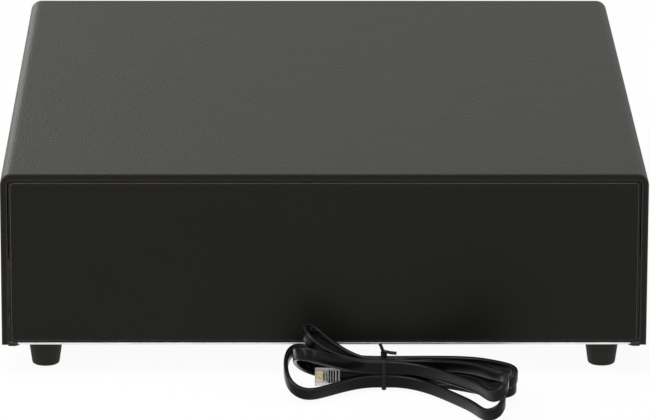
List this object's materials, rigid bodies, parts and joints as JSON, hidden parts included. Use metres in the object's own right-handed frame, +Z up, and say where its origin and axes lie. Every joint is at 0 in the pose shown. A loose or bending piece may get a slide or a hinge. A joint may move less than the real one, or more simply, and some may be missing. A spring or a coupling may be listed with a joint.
{
  "type": "cash drawer",
  "caption": "Compact steel cash drawer: folded cover on rubber feet, sliding drawer with bill bays and coin cups, key lock, solenoid latch, tied flat modular cable behind.",
  "frame": {"origin": "middle of the case's footprint, on the surface that the feet stand on", "axes": "+X to the right when facing the drawer's front, +Y from the front to the back, +Z up"},
  "size_m": [0.35, 0.4998, 0.1135],
  "materials": {
    "grained_paint": "fine grained black powder coat",
    "panel_paint": "smooth satin black paint",
    "front_paint": "smooth satin black paint",
    "tray_paint": "satin black paint",
    "zinc_plate": "bright zinc plate",
    "bracket_zinc": "bright zinc plate",
    "spring_bracket_zinc": "bright zinc plate",
    "rubber": "matt black rubber",
    "grommet_rubber": "matt black rubber",
    "screw_steel": "plated steel",
    "runner_steel": "rolled steel",
    "axle_steel": "turned steel",
    "clip_steel": "spring steel",
    "lock_chrome": "polished chrome",
    "lock_steel": "plated steel",
    "latch_steel": "plated steel",
    "spring_steel": "spring steel wire",
    "coil_wire": "enamelled copper winding",
    "nylon": "white nylon",
    "button_plastic": "white nylon",
    "till_plastic": "moulded black plastic",
    "switch_plastic": "moulded black plastic",
    "tie_plastic": "black plastic-coated wire",
    "cable_jacket": "glossy black PVC",
    "clear_plastic": "clear polycarbonate"
  },
  "bodies": {
    "case": {"outer_cover": "grained_paint", "rear_panel": "panel_paint", "base_plate": "zinc_plate", "foot_front_left": "rubber", "foot_front_right": "rubber", "foot_rear_left": "rubber", "foot_rear_right": "rubber", "foot_screw_front_left": "screw_steel", "foot_screw_front_right": "screw_steel", "foot_screw_rear_left": "screw_steel", "foot_screw_rear_right": "screw_steel", "cover_screw_front_left": "screw_steel", "cover_screw_front_right": "screw_steel", "cover_screw_rear_left": "screw_steel", "cover_screw_rear_right": "screw_steel", "slide_channel_left": "runner_steel", "slide_channel_right": "runner_steel", "front_axle_left": "axle_steel", "front_axle_right": "axle_steel", "lock_keeper": "lock_steel", "latch_bracket": "bracket_zinc", "latch_pin": "latch_steel", "solenoid_frame": "bracket_zinc", "solenoid_coil": "coil_wire", "spring_bracket": "spring_bracket_zinc", "kick_spring": "spring_steel", "switch_body": "switch_plastic", "cable_grommet": "grommet_rubber", "inner_lead": "cable_jacket", "cord_lead": "cable_jacket", "cord_hank": "cable_jacket", "cable_tie": "tie_plastic", "modular_plug": "clear_plastic"},
    "drawer": {"drawer_tray": "tray_paint", "drawer_front": "front_paint", "drawer_rail_left": "runner_steel", "drawer_rail_right": "runner_steel", "rear_axle_left": "axle_steel", "rear_axle_right": "axle_steel", "till_insert": "till_plastic", "coin_tray": "till_plastic", "clip_rod": "clip_steel", "lock_housing": "lock_chrome", "lock_nut": "lock_chrome", "striker": "bracket_zinc"},
    "roller_front_left": {"front_roller_left": "nylon"},
    "roller_front_right": {"front_roller_right": "nylon"},
    "roller_rear_left": {"rear_roller_left": "nylon"},
    "roller_rear_right": {"rear_roller_right": "nylon"},
    "lock": {"lock_plug": "lock_chrome", "lock_cam": "lock_steel"},
    "clip_1": {"bill_clip_1": "clip_steel"},
    "clip_2": {"bill_clip_2": "clip_steel"},
    "clip_3": {"bill_clip_3": "clip_steel"},
    "clip_4": {"bill_clip_4": "clip_steel"},
    "latch": {"latch_lever": "latch_steel"},
    "plunger": {"solenoid_plunger": "latch_steel"},
    "button": {"switch_button": "button_plastic"}
  },
  "joints": [
    {"name": "drawer_slide", "type": "slide", "parent": "case", "child": "drawer", "axis": [0, -1, 0], "range_m": [0, 0.28]},
    {"name": "roller_front_left_turn", "type": "hinge", "parent": "case", "child": "roller_front_left", "pos_m": [-0.166, -0.1826, 0.0552], "axis": [1, 0, 0], "continuous": true},
    {"name": "roller_front_right_turn", "type": "hinge", "parent": "case", "child": "roller_front_right", "pos_m": [0.166, -0.1826, 0.0552], "axis": [1, 0, 0], "continuous": true},
    {"name": "roller_rear_left_turn", "type": "hinge", "parent": "drawer", "child": "roller_rear_left", "pos_m": [-0.166, 0.14, 0.0525], "axis": [1, 0, 0], "continuous": true},
    {"name": "roller_rear_right_turn", "type": "hinge", "parent": "drawer", "child": "roller_rear_right", "pos_m": [0.166, 0.14, 0.0525], "axis": [1, 0, 0], "continuous": true},
    {"name": "lock_turn", "type": "hinge", "parent": "drawer", "child": "lock", "pos_m": [0, -0.202, 0.082], "axis": [0, -1, 0], "range_deg": [0, 90]},
    {"name": "clip_1_lift", "type": "hinge", "parent": "drawer", "child": "clip_1", "pos_m": [-0.11812, 0.128, 0.061], "axis": [-1, 0, 0], "range_deg": [0, 45]},
    {"name": "clip_2_lift", "type": "hinge", "parent": "drawer", "child": "clip_2", "pos_m": [-0.03938, 0.128, 0.061], "axis": [-1, 0, 0], "range_deg": [0, 45]},
    {"name": "clip_3_lift", "type": "hinge", "parent": "drawer", "child": "clip_3", "pos_m": [0.03938, 0.128, 0.061], "axis": [-1, 0, 0], "range_deg": [0, 45]},
    {"name": "clip_4_lift", "type": "hinge", "parent": "drawer", "child": "clip_4", "pos_m": [0.11812, 0.128, 0.061], "axis": [-1, 0, 0], "range_deg": [0, 45]},
    {"name": "latch_turn", "type": "hinge", "parent": "case", "child": "latch", "pos_m": [-0.05, 0.184, 0.0358], "axis": [0, 0, 1], "range_deg": [0, 18]},
    {"name": "plunger_slide", "type": "slide", "parent": "case", "child": "plunger", "axis": [1, 0, 0], "range_m": [0, 0.0039]},
    {"name": "button_press", "type": "slide", "parent": "case", "child": "button", "axis": [0, 1, 0], "range_m": [0, 0.0015], "stiffness_N_per_m": 300}
  ],
  "couplings": [
    {"joint": "roller_front_left_turn", "follows": "drawer_slide", "rad_per_m": 142.86},
    {"joint": "roller_front_right_turn", "follows": "drawer_slide", "rad_per_m": 142.86},
    {"joint": "roller_rear_left_turn", "follows": "drawer_slide", "rad_per_m": 142.86},
    {"joint": "roller_rear_right_turn", "follows": "drawer_slide", "rad_per_m": 142.86},
    {"joint": "plunger_slide", "follows": "latch_turn", "m_per_rad": 0.0124}
  ]
}
